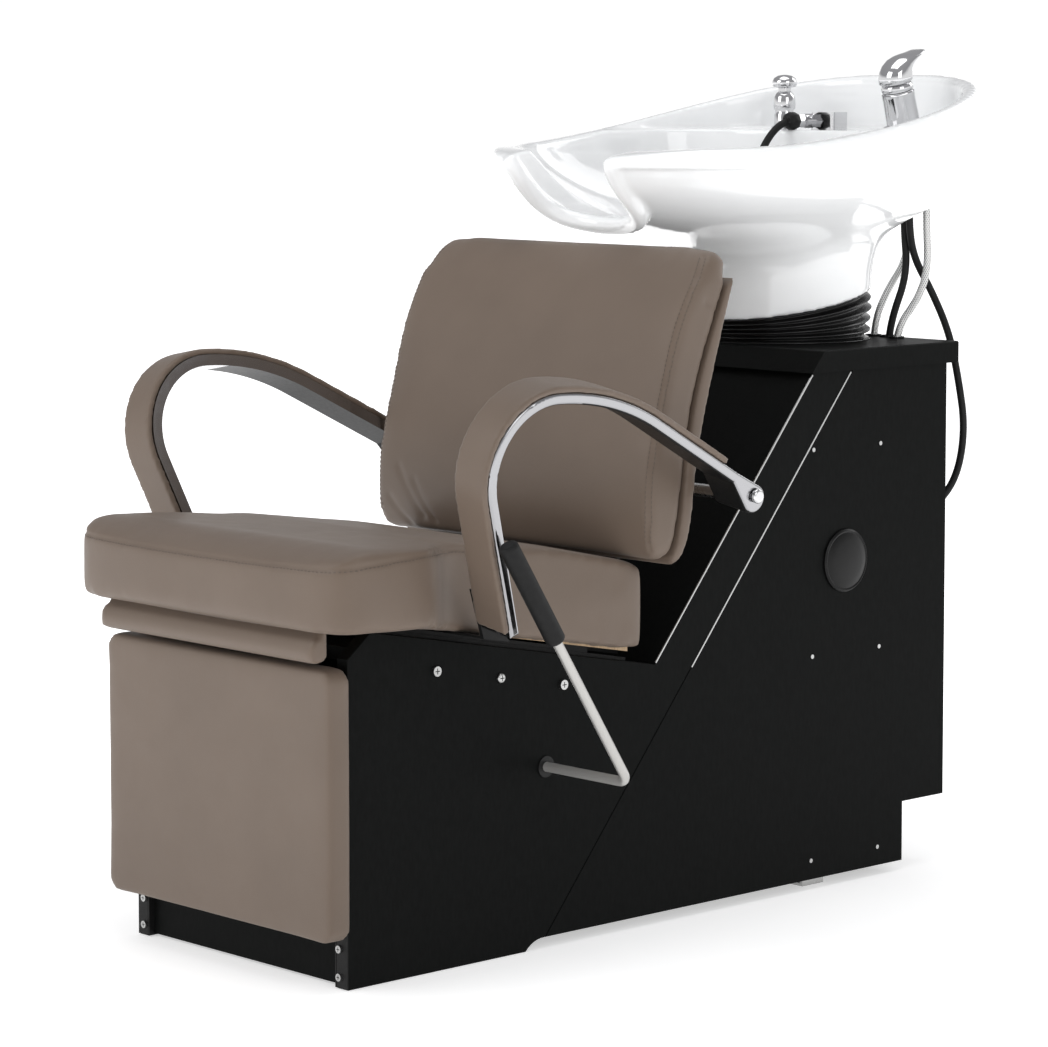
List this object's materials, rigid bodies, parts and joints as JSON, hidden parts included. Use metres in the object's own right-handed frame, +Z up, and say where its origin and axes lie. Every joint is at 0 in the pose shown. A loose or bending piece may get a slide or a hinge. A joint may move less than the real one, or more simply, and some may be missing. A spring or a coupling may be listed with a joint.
{
  "type": "shampoo backwash unit",
  "caption": "Salon shampoo backwash unit: upholstered chair with chrome arms and lever-raised legrest, joined to a black cabinet with a tilting ceramic bowl, mixer tap and spray hose.",
  "frame": {"origin": "On the floor, in the middle of the four floor anchor holes.", "axes": "+Z up, the sitter faces -Y, +X is the sitter's left, where the legrest lever is."},
  "size_m": [0.7092, 1.248, 1.0805],
  "materials": {
    "laminate": "black semi-gloss laminate",
    "vinyl": "taupe upholstery vinyl",
    "plywood": "plain",
    "chrome": "polished",
    "cast": "polished casting",
    "steel": "black powder coat",
    "zinc": "bright zinc",
    "ceramic": "white gloss glaze",
    "rubber": "black",
    "plastic": "black",
    "cap": "grey",
    "braid": "braided"
  },
  "bodies": {
    "cabinet": {"access_caps": "cap", "base_deck": "laminate", "base_side_panel_left": "laminate", "base_side_panel_right": "laminate", "bowl_bracket": "steel", "cabinet_back_panel": "laminate", "cabinet_floor": "laminate", "cabinet_front_panel": "laminate", "cabinet_side_panel_left": "laminate", "cabinet_side_panel_right": "laminate", "cabinet_top": "laminate", "cold_hose": "braid", "feed_hose": "rubber", "floor_brackets": "zinc", "front_edge_plates": "steel", "front_kick_panel": "laminate", "gaiter": "rubber", "hose_grommets": "rubber", "hot_hose": "braid", "levelling_feet": "plastic", "mixed_hose": "rubber", "panel_screws": "zinc", "pivot_bushes": "plastic", "rear_plinth": "laminate", "seat_rails_outer": "steel"},
    "chair": {"seat_frame": "steel", "seat_board": "plywood", "seat_cushion": "vinyl", "front_roll": "vinyl", "back_board": "plywood", "back_cushion": "vinyl", "back_shell": "vinyl", "cross_rod": "zinc", "arm_bar_left": "cast", "arm_bar_right": "cast", "arm_pad_left": "vinyl", "arm_pad_right": "vinyl", "arm_bolts": "chrome", "arm_brackets": "steel"},
    "rocker": {"legrest_rocker": "steel"},
    "knuckle": {"knuckle_links": "zinc"},
    "legrest": {"legrest_board": "plywood", "legrest_pad": "vinyl", "legrest_brackets": "zinc"},
    "lever": {"lever_rod": "chrome", "lever_grip": "rubber"},
    "link": {"drag_link": "zinc"},
    "bowl_unit": {"bowl": "ceramic", "tilt_yoke": "steel", "drain_fitting": "chrome", "mixer_body": "chrome", "tap_nuts": "zinc", "vacuum_breaker": "chrome", "hose_outlet": "chrome", "spray_hose": "rubber", "spray_hose_coil": "rubber", "spray_head": "plastic", "hose_ferrules": "chrome"},
    "mixer_cap": {"mixer_cap": "chrome"},
    "mixer_handle": {"mixer_handle": "chrome"}
  },
  "joints": [
    {"name": "seat_slide", "type": "slide", "parent": "cabinet", "child": "chair", "axis": [0, -0.9826, 0.1857], "range_m": [0, 0.06]},
    {"name": "legrest_raise", "type": "hinge", "parent": "cabinet", "child": "rocker", "pos_m": [0, -0.41, 0.34], "axis": [1, 0, 0], "range_deg": [-80, 0]},
    {"name": "lever_turn", "type": "hinge", "parent": "cabinet", "child": "lever", "pos_m": [0.2, -0.168, 0.222], "axis": [1, 0, 0], "range_deg": [-80, 0]},
    {"name": "link_turn", "type": "hinge", "parent": "lever", "child": "link", "pos_m": [0.15, -0.15752, 0.17311], "axis": [1, 0, 0], "range_deg": [0, 80]},
    {"name": "knuckle_turn", "type": "hinge", "parent": "rocker", "child": "knuckle", "pos_m": [0, -0.41, 0.23], "axis": [1, 0, 0], "range_deg": [0, 141]},
    {"name": "legrest_turn", "type": "hinge", "parent": "knuckle", "child": "legrest", "pos_m": [0, -0.46818, 0.33495], "axis": [1, 0, 0], "range_deg": [-146, 0]},
    {"name": "bowl_tilt", "type": "hinge", "parent": "cabinet", "child": "bowl_unit", "pos_m": [0, 0.45, 0.738], "axis": [1, 0, 0], "range_deg": [-15, 0], "deforming": ["gaiter", "mixed_hose", "cold_hose", "feed_hose", "hot_hose"]},
    {"name": "mixer_turn", "type": "hinge", "parent": "bowl_unit", "child": "mixer_cap", "pos_m": [0.1, 0.589, 0.978], "axis": [0, -0.2756, 0.9613], "range_deg": [-45, 45]},
    {"name": "mixer_lift", "type": "hinge", "parent": "mixer_cap", "child": "mixer_handle", "pos_m": [0.1, 0.5503, 1.0376], "axis": [1, 0, 0], "range_deg": [0, 25]}
  ],
  "couplings": [
    {"joint": "lever_turn", "follows": "legrest_raise", "ratio": 1},
    {"joint": "link_turn", "follows": "legrest_raise", "ratio": -1},
    {"joint": "knuckle_turn", "follows": "legrest_raise", "ratio": -1.7625},
    {"joint": "legrest_turn", "follows": "legrest_raise", "ratio": 1.825}
  ]
}
